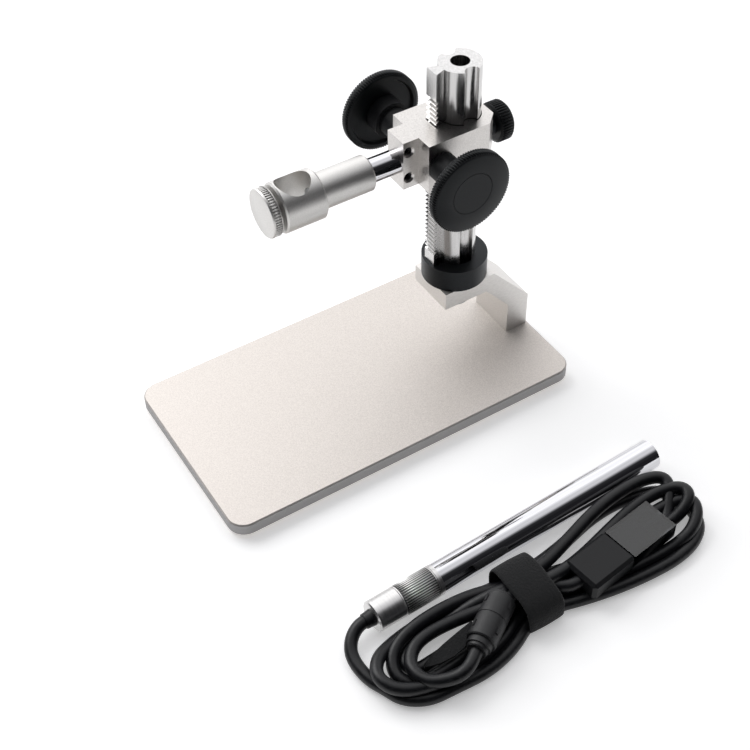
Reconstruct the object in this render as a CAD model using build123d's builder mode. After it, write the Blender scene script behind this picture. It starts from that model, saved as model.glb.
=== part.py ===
from build123d import *
import math
import os

# A pen-shaped USB microscope beside its small bench stand, in millimetres, +Z up.
# The bench is z = 0 and the base plate is centred on x = y = 0. The arm reaches towards -Y.
# The stand has a slotted column with a rack, a carriage moved by a pinion, and a tilting pen holder.

os.makedirs("parts", exist_ok=True)

# Clearances
running_gap = 0.05      # a shaft turning in its bore, on the radius
slide_gap = 0.25        # the column in the carriage block
thread_gap = 0.05       # a screw in its tapped or clearance hole, on the radius
press_gap = 0.02        # a pressed-in bush or plug, on the radius
part_gap = 0.3          # parts that come near each other without touching
cut_overrun = 1.0       # a drilled hole runs on this far into the hollow that it opens
backlash = 0.1          # play between pinion and rack teeth

# Base plate and feet
plate_length = 150.0
plate_width = 82.0
plate_thickness = 5.0
plate_corner = 7.0
plate_edge_break = 0.5
foot_height = 1.5
foot_radius = 4.5
foot_inset = 12.0
plate_top = foot_height + plate_thickness

# Riser bracket, bent from flat bar
bracket_width = 21.0
slab_length = 39.8
slab_thickness = 7.5
slab_height = 34.7      # slab's top above the plate
leg_inset = 1.0         # leg's back face inside the plate's rear edge
leg_thickness = 9.7
outer_bend_run = 17.4
outer_bend_drop = 19.1
inner_bend_run = 10.9
inner_bend_drop = 12.8
bracket_screw_radius = 2.0
bracket_screw_head = 3.8
bracket_screw_depth = 10.0
bracket_screw_spacing = 11.0
leg_back = plate_length / 2 - leg_inset
leg_front = leg_back - leg_thickness
leg_middle = (leg_back + leg_front) / 2
slab_front = leg_back - slab_length
slab_top = plate_top + slab_height
slab_bottom = slab_top - slab_thickness

# Collar at the column's foot
column_setback = 10.8   # column's axis behind the slab's front edge
collar_radius = 12.6
collar_height = 9.3
column_y = slab_front + column_setback

# Column, an extruded bar with a toothed rail along its front
column_height = 92.8
column_radius = 7.75
groove_radius = 2.9     # long groove down each side
groove_offset = 7.8
rail_reach = 11.5       # rail's front flat ahead of the column's axis
rail_half_width = 3.0
neck_half_width = 1.35
neck_reach = 7.0
core_radius = 3.1
column_tap_radius = 3.4
column_tap_depth = 18.0
column_top = slab_top + column_height

# Screw that holds the column down on the slab
foot_screw_radius = 4.0
foot_screw_reach = 14.0
foot_screw_head = 6.5
foot_screw_head_height = 5.0
foot_screw_socket = 2.5

# Rack and pinion
module = 0.6
pinion_teeth = 12
pressure_angle = 20.0
root_factor = 1.25
tip_half_width = 0.17
root_half_width = 0.5
pinion_half_length = 3.6
pitch = math.pi * module
pitch_radius = module * pinion_teeth / 2
tip_radius = pitch_radius + module
root_radius = pitch_radius - root_factor * module
rack_depth = module + root_factor * module
rack_gaps_above = 10    # tooth gaps above and below the pinion's rest height
rack_gaps_below = 25

# Carriage block, with its nose towards the arm
block_rest_height = 87.6    # block's underside above the plate, at rest
block_height = 19.3
block_half_width = 11.3
block_front_reach = 19.7    # from the column's axis
block_rear_reach = 9.8
block_corner = 4.5
nose_half_width = 4.9
nose_length = 6.2
shaft_height = 9.7          # shaft's axis above the block's underside
arm_height = 9.3            # arm's axis above the block's underside
block_bottom = plate_top + block_rest_height
body_front = column_y - block_front_reach
block_rear = column_y + block_rear_reach
nose_front = body_front - nose_length
shaft_y = column_y - rail_reach + module - pitch_radius
shaft_z = block_bottom + shaft_height
arm_z = block_bottom + arm_height

# Pinion shaft, its bushes and the focus knobs
shaft_radius = 3.0
bush_radius = 4.5
bush_length = 6.3
hub_radius = 7.0
hub_length = 6.0            # from the knob to the neck
hub_neck_radius = 5.3
knob_radius = 15.0
knob_inner_face = 26.0
knob_thickness = 4.0
knob_chamfer = 0.6
knob_cap_radius = 7.7
knob_cap_depth = 1.0
neck_start = block_half_width + part_gap
hub_start = knob_inner_face - hub_length
knob_outer_face = knob_inner_face + knob_thickness
shaft_end = knob_outer_face - knob_cap_depth - part_gap
hub_screw_radius = 1.5
hub_screw_length = 3.5
hub_screw_reach = 23.0      # from the stand's middle plane
hub_socket_depth = 1.5

# Grub screws in the nose's right side
nose_screw_radius = 1.5
nose_screw_spread = 5.3     # above and below the block's middle
nose_screw_setback = 2.3
nose_screw_depth = 5.0
nose_screw_length = 3.0
nose_screw_mouth = 2.2
nose_screw_socket = 0.75
nose_socket_depth = 1.2

# Arm: rod, sleeve, head and clamp cap on one axis
rod_radius = 4.35
rod_exposed = 11.5
spigot_radius = 3.0
spigot_length = 5.9
sleeve_radius = 6.45
sleeve_length = 20.2
head_radius = 9.0
head_length = 15.6
arm_chamfer = 0.6
pen_bore_radius = 6.2
pen_bore_offset = 8.5       # pen bore's axis ahead of the head's rear face
cap_gap = 1.3
cap_length = 3.9
cap_radius = 8.8
clamp_stem_radius = 2.5
clamp_pad_radius = 1.6
clamp_pad_length = 2.0
sleeve_rear = nose_front - rod_exposed
head_rear = sleeve_rear - sleeve_length
head_front = head_rear - head_length
cap_rear = head_front - cap_gap
cap_front = cap_rear - cap_length
pen_bore_y = head_rear - pen_bore_offset
bore_front = pen_bore_y - pen_bore_radius
bore_rear = pen_bore_y + pen_bore_radius
rod_front = head_rear + part_gap
retainer_radius = 1.5
retainer_head = 2.6
retainer_head_height = 1.2
retainer_reach = 8.0
retainer_socket = 1.1
retainer_seat = bore_rear + 1.5

# Lock screw at the carriage's back
lock_boss_radius = 4.0
lock_boss_length = 3.9      # proud of the block
lock_knob_radius = 7.4
lock_knob_length = 6.0
lock_stud_radius = 2.0
lock_stud_depth = 3.5       # in the knob
lock_pad_length = 0.9
lock_play = 0.2
hole_rear = column_y + column_radius + slide_gap
lock_boss_end = block_rear + lock_boss_length
lock_knob_start = lock_boss_end + part_gap
lock_pad_tip = column_y + column_radius + lock_play
lock_pad_end = lock_pad_tip + lock_pad_length

# Pen, lying on the bench to the stand's right
pen_tail = (96.55, -53.1)
pen_tip = (91.55, 70.7)
tube_radius = 5.7
tube_bore = 5.1
ring_radius = 5.75
tail_radius = 5.65
tail_bore = 4.9
cap_end = 5.7               # distances from the tail's face, along the pen
tail_end = 10.5
focus_end = 25.0
collar_end = 26.5
core_start = 3.0
core_end = 34.0
core_bore = 4.2
core_slot_length = 7.0
cap_wall = 1.5
tail_chamfer = 0.5
flute_count = 40
flute_radius = 0.25
ring_relief_radius = 5.25   # room inside the ring for the drive pin's end
ring_relief_length = 8.0
pen_length = math.hypot(pen_tip[0] - pen_tail[0], pen_tip[1] - pen_tail[1])
pen_direction = ((pen_tip[0] - pen_tail[0]) / pen_length, (pen_tip[1] - pen_tail[1]) / pen_length, 0)

# Optics and electronics inside the pen
window_setback = 1.0
window_thickness = 1.0
led_board_setback = 4.5
led_board_thickness = 1.0
led_board_bore = 2.3
led_count = 8
led_circle = 3.7
led_radius = 0.6
led_height = 0.8
barrel_front_setback = 6.0
barrel_length = 16.0
barrel_bore = 3.0
lens_thickness = 2.0
carrier_start = 14.0
carrier_length = 34.0
carrier_radius = 4.1
carrier_bore = 3.0
sensor_seat = 33.0
board_width = 6.4
board_thickness = 0.8
board_length = 16.0
board_ledge = 0.8
board_headroom = 1.2
sensor_side = 3.6
sensor_thickness = 0.6
drive_pin_radius = 0.75
drive_pin_place = 18.0
drive_pin_reach = 5.15

# Lead: gland, free stretch, folded hank with its tie, ferrite and plug
cord_radius = 2.3
gland_radius = 3.0
gland_length = 3.0
gland_tip_radius = 2.7
gland_root = 2.5
gland_flange_radius = 4.0
gland_flange_thickness = 1.0
gland_lead = 1.9        # straight cord beyond the gland's mouth
bend_share = 0.45       # share of a run that the arc at its corner takes
hank_height = 9.5
hank_edge = 2.5
near_loop = (117.8, -50.0)
near_loop_radius = 13.8
far_loop = (116.0, 53.3)
far_loop_radius = 17.4
waist_middle = 118.3
waist_width = 21.5
waist_margin = 1.5
tie_length = 14.5
tie_thickness = 1.4
tie_middle = -3.0
ferrite_radius = 5.0
ferrite_length = 23.0
ferrite_chamfer = 0.8
ferrite_end = (115.7, -13.4)
ferrite_turn = -57.5        # degrees about the vertical, from +X
ferrite_height = 9.7
plug_start = (123.0, 13.0)
plug_turn = 98.0
plug_height = 7.0
plug_width = 15.0
plug_thickness = 8.0
overmould_length = 20.0
shell_width = 12.0
shell_thickness = 4.5
shell_length = 12.0
shell_root = 6.0
shell_wall = 0.35
tongue_thickness = 1.8
overmould_chamfer = 1.2
plug_cap_wall = 1.0
plug_cap_length = 21.0


def turned(plane, start, end, radius, bore=0.0, mode=Mode.ADD):
    """A cylinder or a tube along the plane's normal, added to the part being built."""
    with BuildSketch(plane.offset(start)) as section:
        Circle(radius)
        if bore:
            Circle(bore, mode=Mode.SUBTRACT)
    extrude(section.sketch, amount=end - start, mode=mode)


def finish(part, name):
    """Labels a finished piece and writes it."""
    part.label = name
    export_step(part, f"parts/{name}.step")


# ---- Stand ----

with BuildPart() as base_plate:
    with BuildSketch(Plane.XY.offset(foot_height)):
        RectangleRounded(plate_width, plate_length, plate_corner)
    extrude(amount=plate_thickness)
    chamfer(base_plate.faces().sort_by(Axis.Z)[-1].edges(), plate_edge_break)
    with BuildSketch(Plane.XY.offset(foot_height)):
        with Locations((0, leg_middle)):
            with GridLocations(bracket_screw_spacing, 0, 2, 1):
                Circle(bracket_screw_head + thread_gap)
    extrude(amount=bracket_screw_head - bracket_screw_radius, mode=Mode.SUBTRACT)
    with BuildSketch(Plane.XY.offset(foot_height)):
        with Locations((0, leg_middle)):
            with GridLocations(bracket_screw_spacing, 0, 2, 1):
                Circle(bracket_screw_radius + thread_gap)
    extrude(amount=plate_thickness, mode=Mode.SUBTRACT)
finish(base_plate.part, "base_plate")

with BuildPart() as rubber_feet:
    with BuildSketch(Plane.XY):
        with GridLocations(plate_width - 2 * foot_inset, plate_length - 2 * foot_inset, 2, 2):
            Circle(foot_radius)
    extrude(amount=foot_height)
finish(rubber_feet.part, "rubber_feet")

with BuildPart() as riser_bracket:
    with BuildSketch(Plane.YZ.offset(-bracket_width / 2)):
        with BuildLine():
            Polyline(
                (slab_front, slab_bottom),
                (slab_front, slab_top),
                (leg_back - outer_bend_run, slab_top),
                (leg_back, slab_top - outer_bend_drop),
                (leg_back, plate_top),
                (leg_front, plate_top),
                (leg_front, slab_bottom - inner_bend_drop),
                (leg_front - inner_bend_run, slab_bottom),
                close=True,
            )
        make_face()
    extrude(amount=bracket_width)
    with BuildSketch(Plane.XY.offset(plate_top)):
        with Locations((0, leg_middle)):
            with GridLocations(bracket_screw_spacing, 0, 2, 1):
                Circle(bracket_screw_radius + thread_gap)
    extrude(amount=bracket_screw_depth, mode=Mode.SUBTRACT)
    with BuildSketch(Plane.XY.offset(slab_bottom)):
        with Locations((0, column_y)):
            Circle(foot_screw_radius + thread_gap)
    extrude(amount=slab_thickness, mode=Mode.SUBTRACT)
finish(riser_bracket.part, "riser_bracket")

with BuildPart() as bracket_screws:
    with BuildSketch(Plane.XY.offset(foot_height)):
        with Locations((0, leg_middle)):
            with GridLocations(bracket_screw_spacing, 0, 2, 1):
                Circle(bracket_screw_head)
                Circle(bracket_screw_radius / 2, mode=Mode.SUBTRACT)
    extrude(amount=bracket_screw_head - bracket_screw_radius)
    with BuildSketch(Plane.XY.offset(foot_height + (bracket_screw_head - bracket_screw_radius))):
        with Locations((0, leg_middle)):
            with GridLocations(bracket_screw_spacing, 0, 2, 1):
                Circle(bracket_screw_radius)
    extrude(amount=plate_thickness + bracket_screw_depth - bracket_screw_head)
finish(bracket_screws.part, "bracket_screws")

with BuildPart() as column_collar:
    with BuildSketch(Plane.XY.offset(slab_top)):
        with Locations((0, column_y)):
            Circle(collar_radius)
        with BuildLine(mode=Mode.PRIVATE) as rail_seat:
            Polyline(
                (-rail_half_width - press_gap, column_y - rail_reach - press_gap),
                (rail_half_width + press_gap, column_y - rail_reach - press_gap),
                (rail_half_width + press_gap, column_y),
                (-rail_half_width - press_gap, column_y),
                close=True,
            )
        make_face(rail_seat.edges(), mode=Mode.SUBTRACT)
        with Locations((0, column_y)):
            Circle(column_radius + press_gap, mode=Mode.SUBTRACT)
    extrude(amount=collar_height)
finish(column_collar.part, "column_collar")


def column_section(gap):
    """The column's section, grown by a gap, in the sketch being built."""
    with Locations((0, column_y)):
        Circle(column_radius + gap)
    with BuildLine(mode=Mode.PRIVATE) as rail:
        Polyline(
            (-neck_half_width - gap, column_y - neck_reach),
            (-rail_half_width - gap, column_y - rail_reach - gap),
            (rail_half_width + gap, column_y - rail_reach - gap),
            (neck_half_width + gap, column_y - neck_reach),
            close=True,
        )
    make_face(rail.edges())
    with Locations((-groove_offset, column_y), (groove_offset, column_y)):
        Circle(groove_radius - gap, mode=Mode.SUBTRACT)


with BuildPart() as rack_column:
    with BuildSketch(Plane.XY.offset(slab_top)):
        column_section(0.0)
        with Locations((0, column_y)):
            Circle(core_radius, mode=Mode.SUBTRACT)
    extrude(amount=column_height)
    with BuildSketch(Plane.XY.offset(column_top)):
        with Locations((0, column_y)):
            Circle(column_tap_radius)
    extrude(amount=-column_tap_depth, mode=Mode.SUBTRACT)
    with BuildSketch(Plane.XY.offset(slab_top)):
        with Locations((0, column_y)):
            Circle(foot_screw_radius + thread_gap)
    extrude(amount=foot_screw_reach + part_gap, mode=Mode.SUBTRACT)
    flank = math.tan(math.radians(pressure_angle))
    gap_at_pitch = pitch / 4 + backlash / 2
    gap_at_tip = gap_at_pitch + module * flank
    gap_at_root = gap_at_pitch - root_factor * module * flank
    with BuildSketch(Plane.YZ.offset(-rail_half_width)):
        for number in range(-rack_gaps_below, rack_gaps_above + 1):
            with Locations((column_y - rail_reach, shaft_z + number * pitch)):
                Polygon(
                    (0, -gap_at_tip),
                    (rack_depth, -gap_at_root),
                    (rack_depth, gap_at_root),
                    (0, gap_at_tip),
                    align=None,
                )
    extrude(amount=2 * rail_half_width, mode=Mode.SUBTRACT)
finish(rack_column.part, "rack_column")

with BuildPart() as column_screw:
    foot_screw_plane = Plane((0, column_y, slab_bottom))
    turned(foot_screw_plane, -foot_screw_head_height, 0, foot_screw_head)
    turned(foot_screw_plane, 0, slab_thickness + foot_screw_reach, foot_screw_radius)
    turned(
        foot_screw_plane, -foot_screw_head_height, -foot_screw_head_height / 2, foot_screw_socket,
        mode=Mode.SUBTRACT,
    )
finish(column_screw.part, "column_screw")

# ---- Carriage ----

shaft_plane = Plane((0, shaft_y, shaft_z), x_dir=(0, 1, 0), z_dir=(1, 0, 0))
arm_plane = Plane((0, 0, arm_z), x_dir=(-1, 0, 0), z_dir=(0, 1, 0))
block_middle = block_bottom + block_height / 2
nose_screw_y = nose_front + nose_screw_setback
nose_screw_planes = []
for side in (-1, 1):
    nose_screw_mouth_middle = (nose_half_width, nose_screw_y, block_middle + side * nose_screw_spread)
    nose_screw_planes.append(Plane(nose_screw_mouth_middle, x_dir=(0, 1, 0), z_dir=(-1, 0, 0)))

with BuildPart() as carriage_block:
    with BuildSketch(Plane.XY.offset(block_bottom)):
        with BuildLine():
            Polyline(
                (-nose_half_width, nose_front),
                (nose_half_width, nose_front),
                (nose_half_width, body_front),
                (block_half_width, body_front),
                (block_half_width, block_rear - block_corner),
                (block_half_width - block_corner, block_rear),
                (block_corner - block_half_width, block_rear),
                (-block_half_width, block_rear - block_corner),
                (-block_half_width, body_front),
                (-nose_half_width, body_front),
                close=True,
            )
        make_face()
    extrude(amount=block_height)
    with BuildSketch(Plane.XY.offset(block_bottom)):
        column_section(slide_gap)
    extrude(amount=block_height, mode=Mode.SUBTRACT)
    turned(shaft_plane, -block_half_width, block_half_width, bush_radius, mode=Mode.SUBTRACT)
    turned(
        arm_plane, nose_front, nose_front + spigot_length + part_gap, spigot_radius + thread_gap,
        mode=Mode.SUBTRACT,
    )
    turned(arm_plane, hole_rear - cut_overrun, block_rear, lock_boss_radius, mode=Mode.SUBTRACT)
    for side_plane in nose_screw_planes:
        turned(side_plane, 0, nose_screw_depth, nose_screw_radius, mode=Mode.SUBTRACT)
        with BuildSketch(side_plane):
            Circle(nose_screw_mouth)
        extrude(amount=nose_screw_mouth - nose_screw_radius, taper=45, mode=Mode.SUBTRACT)
finish(carriage_block.part, "carriage_block")

with BuildPart() as nose_grub_screws:
    for side_plane in nose_screw_planes:
        grub_start = nose_screw_depth - nose_screw_length
        turned(side_plane, grub_start, nose_screw_depth, nose_screw_radius - thread_gap)
        turned(side_plane, grub_start, grub_start + nose_socket_depth, nose_screw_socket, mode=Mode.SUBTRACT)
finish(nose_grub_screws.part, "nose_grub_screws")

with BuildPart() as shaft_bushes:
    for side in (-1, 1):
        bush_plane = Plane(
            (side * block_half_width, shaft_y, shaft_z), x_dir=(0, 1, 0), z_dir=(-side, 0, 0)
        )
        turned(bush_plane, 0, bush_length, bush_radius - press_gap, shaft_radius + running_gap)
finish(shaft_bushes.part, "shaft_bushes")

with BuildPart() as arm_rod:
    turned(arm_plane, rod_front, nose_front, rod_radius)
    turned(arm_plane, nose_front, nose_front + spigot_length, spigot_radius)
    turned(
        arm_plane, rod_front, retainer_seat + retainer_reach + part_gap, retainer_radius + thread_gap,
        mode=Mode.SUBTRACT,
    )
finish(arm_rod.part, "arm_rod")

with BuildPart() as holder_retaining_screw:
    head_face = retainer_seat - running_gap - retainer_head_height
    turned(arm_plane, head_face, retainer_seat - running_gap, retainer_head)
    turned(arm_plane, retainer_seat - running_gap, retainer_seat + retainer_reach, retainer_radius)
    turned(arm_plane, head_face, head_face + retainer_head_height / 2, retainer_socket, mode=Mode.SUBTRACT)
finish(holder_retaining_screw.part, "holder_retaining_screw")

with BuildPart() as lock_boss:
    turned(
        arm_plane, hole_rear + part_gap, lock_boss_end, lock_boss_radius - press_gap,
        lock_stud_radius + thread_gap,
    )
finish(lock_boss.part, "lock_boss")

with BuildPart() as lock_pad:
    turned(arm_plane, lock_pad_tip, lock_pad_end, lock_stud_radius)
finish(lock_pad.part, "lock_pad")

with BuildPart() as lock_stud:
    turned(arm_plane, lock_pad_end, lock_knob_start + lock_stud_depth, lock_stud_radius)
finish(lock_stud.part, "lock_stud")

with BuildPart() as lock_knob:
    turned(arm_plane, lock_knob_start, lock_knob_start + lock_knob_length, lock_knob_radius)
    chamfer(lock_knob.edges().filter_by(GeomType.CIRCLE), knob_chamfer)
    turned(
        arm_plane, lock_knob_start, lock_knob_start + lock_stud_depth, lock_stud_radius + press_gap,
        mode=Mode.SUBTRACT,
    )
finish(lock_knob.part, "lock_knob")

# ---- Focus shaft and knobs ----

with BuildPart() as pinion_shaft:
    turned(shaft_plane, -shaft_end, -pinion_half_length, shaft_radius)
    turned(shaft_plane, pinion_half_length, shaft_end, shaft_radius)
    turned(shaft_plane, -pinion_half_length, pinion_half_length, root_radius)
    with BuildSketch(shaft_plane.offset(-pinion_half_length)):
        with PolarLocations(0, pinion_teeth):
            Polygon(
                (root_radius / 2, -root_half_width),
                (root_radius, -root_half_width),
                (tip_radius, -tip_half_width),
                (tip_radius, tip_half_width),
                (root_radius, root_half_width),
                (root_radius / 2, root_half_width),
                align=None,
            )
    extrude(amount=2 * pinion_half_length)
finish(pinion_shaft.part, "pinion_shaft")

for side, word in ((-1, "left"), (1, "right")):
    knob_plane = Plane((0, shaft_y, shaft_z), x_dir=(0, 1, 0), z_dir=(side, 0, 0))
    hub_screw_plane = Plane(
        (side * hub_screw_reach, shaft_y, shaft_z), x_dir=(1, 0, 0), z_dir=(0, 0, -1)
    )

    with BuildPart() as knob_hub:
        turned(knob_plane, neck_start, hub_start, hub_neck_radius, shaft_radius + press_gap)
        turned(knob_plane, hub_start, knob_inner_face, hub_radius, shaft_radius + press_gap)
        turned(hub_screw_plane, 0, hub_radius, hub_screw_radius, mode=Mode.SUBTRACT)
    finish(knob_hub.part, f"knob_hub_{word}")

    with BuildPart() as hub_grub_screw:
        screw_start = shaft_radius + press_gap
        screw_end = screw_start + hub_screw_length
        turned(hub_screw_plane, screw_start, screw_end, hub_screw_radius - thread_gap)
        turned(
            hub_screw_plane, screw_end - hub_socket_depth, screw_end, nose_screw_socket,
            mode=Mode.SUBTRACT,
        )
    finish(hub_grub_screw.part, f"hub_grub_screw_{word}")

    with BuildPart() as focus_knob:
        turned(knob_plane, knob_inner_face, knob_outer_face, knob_radius)
        chamfer(focus_knob.edges().filter_by(GeomType.CIRCLE), knob_chamfer)
        turned(
            knob_plane, knob_outer_face - knob_cap_depth, knob_outer_face, knob_cap_radius + press_gap,
            mode=Mode.SUBTRACT,
        )
        turned(
            knob_plane, knob_inner_face, knob_outer_face - knob_cap_depth, shaft_radius + press_gap,
            mode=Mode.SUBTRACT,
        )
    finish(focus_knob.part, f"focus_knob_{word}")

    with BuildPart() as knob_cap:
        turned(knob_plane, knob_outer_face - knob_cap_depth, knob_outer_face, knob_cap_radius)
    finish(knob_cap.part, f"knob_cap_{word}")

# ---- Pen holder and its clamp ----

with BuildPart() as pen_holder:
    turned(arm_plane, head_front, head_rear, head_radius)
    chamfer(pen_holder.edges().filter_by(GeomType.CIRCLE), arm_chamfer)
    turned(arm_plane, head_rear, sleeve_rear, sleeve_radius)
    chamfer(pen_holder.edges().filter_by(GeomType.CIRCLE).sort_by(Axis.Y)[-1], arm_chamfer)
    turned(arm_plane, head_rear, sleeve_rear, rod_radius + running_gap, mode=Mode.SUBTRACT)
    turned(
        arm_plane, bore_rear - cut_overrun, retainer_seat, retainer_head + running_gap,
        mode=Mode.SUBTRACT,
    )
    turned(arm_plane, retainer_seat, head_rear, retainer_radius + running_gap, mode=Mode.SUBTRACT)
    turned(arm_plane, head_front, pen_bore_y, clamp_stem_radius + thread_gap, mode=Mode.SUBTRACT)
    with BuildSketch(Plane.XY.offset(arm_z - head_radius)):
        with Locations((0, pen_bore_y)):
            Circle(pen_bore_radius)
    extrude(amount=2 * head_radius, mode=Mode.SUBTRACT)
finish(pen_holder.part, "pen_holder")

with BuildPart() as clamp_cap:
    turned(arm_plane, cap_front, cap_rear, cap_radius)
    chamfer(clamp_cap.edges().filter_by(GeomType.CIRCLE), arm_chamfer)
    turned(arm_plane, cap_rear, bore_front, clamp_stem_radius)
    turned(
        arm_plane, bore_front - clamp_pad_length, bore_front, clamp_pad_radius + running_gap,
        mode=Mode.SUBTRACT,
    )
finish(clamp_cap.part, "clamp_cap")

with BuildPart() as clamp_pad:
    turned(arm_plane, bore_front - clamp_pad_length, bore_front + press_gap, clamp_pad_radius)
finish(clamp_pad.part, "clamp_pad")

# ---- Pen ----

pen_plane = Plane(
    (pen_tail[0], pen_tail[1], ring_radius), x_dir=(pen_direction[1], -pen_direction[0], 0),
    z_dir=pen_direction,
)
window_front = pen_length - window_setback
led_board_front = pen_length - led_board_setback
barrel_front = pen_length - barrel_front_setback
barrel_back = barrel_front - barrel_length
carrier_end = carrier_start + carrier_length

with BuildPart() as pen_tube:
    turned(pen_plane, collar_end, pen_length, tube_radius, tube_bore)
finish(pen_tube.part, "pen_tube")

with BuildPart() as tube_collar:
    turned(pen_plane, focus_end + press_gap, collar_end, tube_radius, tail_bore + press_gap)
finish(tube_collar.part, "tube_collar")

with BuildPart() as focus_ring:
    turned(pen_plane, tail_end + running_gap, focus_end - running_gap, ring_radius, tail_bore + running_gap)
    with BuildSketch(pen_plane.offset(tail_end)):
        with PolarLocations(ring_radius, flute_count):
            Circle(flute_radius)
    extrude(amount=focus_end - tail_end, mode=Mode.SUBTRACT)
    turned(
        pen_plane, drive_pin_place - ring_relief_length / 2, drive_pin_place + ring_relief_length / 2,
        ring_relief_radius, mode=Mode.SUBTRACT,
    )
finish(focus_ring.part, "focus_ring")

with BuildPart() as tail_body:
    turned(pen_plane, cap_end, tail_end, tail_radius, tail_bore + press_gap)
finish(tail_body.part, "tail_body")

with BuildPart() as tail_cap:
    turned(pen_plane, 0, cap_end, tail_radius)
    chamfer(tail_cap.edges().filter_by(GeomType.CIRCLE).sort_by(Axis.Y)[0], tail_chamfer)
    turned(pen_plane, cap_wall, cap_end, tail_bore + press_gap, mode=Mode.SUBTRACT)
    turned(pen_plane, 0, cap_wall, gland_root, mode=Mode.SUBTRACT)
finish(tail_cap.part, "tail_cap")

slot_plane = Plane(
    pen_plane.from_local_coords((0, 0, drive_pin_place)), x_dir=pen_direction, z_dir=(0, 0, 1)
)

with BuildPart() as pen_core:
    turned(pen_plane, core_start, collar_end, tail_bore, core_bore)
    turned(pen_plane, collar_end, core_end, tube_bore - press_gap, core_bore)
    with BuildSketch(slot_plane):
        SlotOverall(core_slot_length, 2 * (drive_pin_radius + running_gap))
    extrude(amount=tube_radius, mode=Mode.SUBTRACT)
finish(pen_core.part, "pen_core")

with BuildPart() as sensor_carrier:
    turned(pen_plane, carrier_start, carrier_end, carrier_radius)
    with BuildSketch(pen_plane.offset(carrier_start)):
        Rectangle(board_width + 2 * press_gap, board_thickness + 2 * press_gap)
        Rectangle(board_width - 2 * board_ledge, board_thickness + 2 * board_headroom)
    extrude(amount=board_length, mode=Mode.SUBTRACT)
    turned(pen_plane, sensor_seat, carrier_end, carrier_bore, mode=Mode.SUBTRACT)
finish(sensor_carrier.part, "sensor_carrier")

with BuildPart() as drive_pin:
    with BuildSketch(slot_plane.offset(carrier_radius)):
        Circle(drive_pin_radius)
    extrude(amount=drive_pin_reach - carrier_radius)
finish(drive_pin.part, "drive_pin")

with BuildPart() as main_board:
    with BuildSketch(pen_plane.offset(carrier_start)):
        Rectangle(board_width, board_thickness)
    extrude(amount=board_length - part_gap)
finish(main_board.part, "main_board")

with BuildPart() as sensor_board:
    turned(pen_plane, sensor_seat, sensor_seat + board_thickness, carrier_bore - press_gap)
finish(sensor_board.part, "sensor_board")

with BuildPart() as image_sensor:
    with BuildSketch(pen_plane.offset(sensor_seat + board_thickness)):
        Rectangle(sensor_side, sensor_side)
    extrude(amount=sensor_thickness)
finish(image_sensor.part, "image_sensor")

with BuildPart() as objective_barrel:
    turned(pen_plane, barrel_back, barrel_front, tube_bore - press_gap, barrel_bore)
finish(objective_barrel.part, "objective_barrel")

with BuildPart() as objective_lenses:
    for lens_place in (barrel_back + lens_thickness, barrel_front - 2 * lens_thickness):
        turned(pen_plane, lens_place, lens_place + lens_thickness, barrel_bore - press_gap)
finish(objective_lenses.part, "objective_lenses")

with BuildPart() as led_board:
    turned(
        pen_plane, led_board_front - led_board_thickness, led_board_front, tube_bore - press_gap,
        led_board_bore,
    )
finish(led_board.part, "led_board")

with BuildPart() as lamp_leds:
    with BuildSketch(pen_plane.offset(led_board_front)):
        with PolarLocations(led_circle, led_count):
            Circle(led_radius)
    extrude(amount=led_height)
finish(lamp_leds.part, "lamp_leds")

with BuildPart() as front_window:
    turned(pen_plane, window_front - window_thickness, window_front, tube_bore - press_gap)
finish(front_window.part, "front_window")

# ---- Lead ----

with BuildPart() as cord_gland:
    turned(pen_plane, 0, cap_wall, gland_root)
    turned(pen_plane, cap_wall, cap_wall + gland_flange_thickness, gland_flange_radius)
    with BuildSketch(pen_plane) as gland_base:
        Circle(gland_radius)
    with BuildSketch(pen_plane.offset(-gland_length)) as gland_tip:
        Circle(gland_tip_radius)
    loft(sections=[gland_base.sketch, gland_tip.sketch])
finish(cord_gland.part, "cord_gland")

gland_mouth = pen_plane.from_local_coords((0, 0, -gland_length))
first_corner = pen_plane.from_local_coords((0, 0, -gland_length - gland_lead))
cord_route = [
    (gland_mouth.X, gland_mouth.Y, gland_mouth.Z),
    (first_corner.X, first_corner.Y, first_corner.Z),
    (98.2, -61.5, 4.8),
    (100.9, -64.2, 3.7),
    (104.4, -65.7, 2.8),
    (109.4, -65.9, 2.4),
    (115.0, -65.0, 2.35),
    (119.5, -62.8, 2.35),
]


def corner_radii(points):
    """The largest arc each corner of a route can take from the shorter of its two runs."""
    radii = []
    for before, corner, after in zip(points, points[1:], points[2:]):
        run_in = Vector(*corner) - Vector(*before)
        run_out = Vector(*after) - Vector(*corner)
        half_turn = math.radians(run_in.get_angle(run_out) / 2)
        radii.append(bend_share * min(run_in.length, run_out.length) / math.tan(half_turn))
    return radii


cord_radii = corner_radii(cord_route)
print("cord radii", [round(radius, 1) for radius in cord_radii])

with BuildPart() as cord_tube:
    with BuildLine() as cord_line:
        FilletPolyline(*cord_route, radius=cord_radii)
    with BuildSketch(cord_line.line ^ 0):
        Circle(cord_radius)
    sweep()
cord_length = sum(edge.length for edge in cord_line.edges())
print("cord tube length", round(cord_length, 2))
cord_section = math.pi * cord_radius**2
print("volume", round(cord_tube.part.volume, 1), "section by length", round(cord_section * cord_length, 1))
finish(cord_tube.part, "cord_tube")

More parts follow.
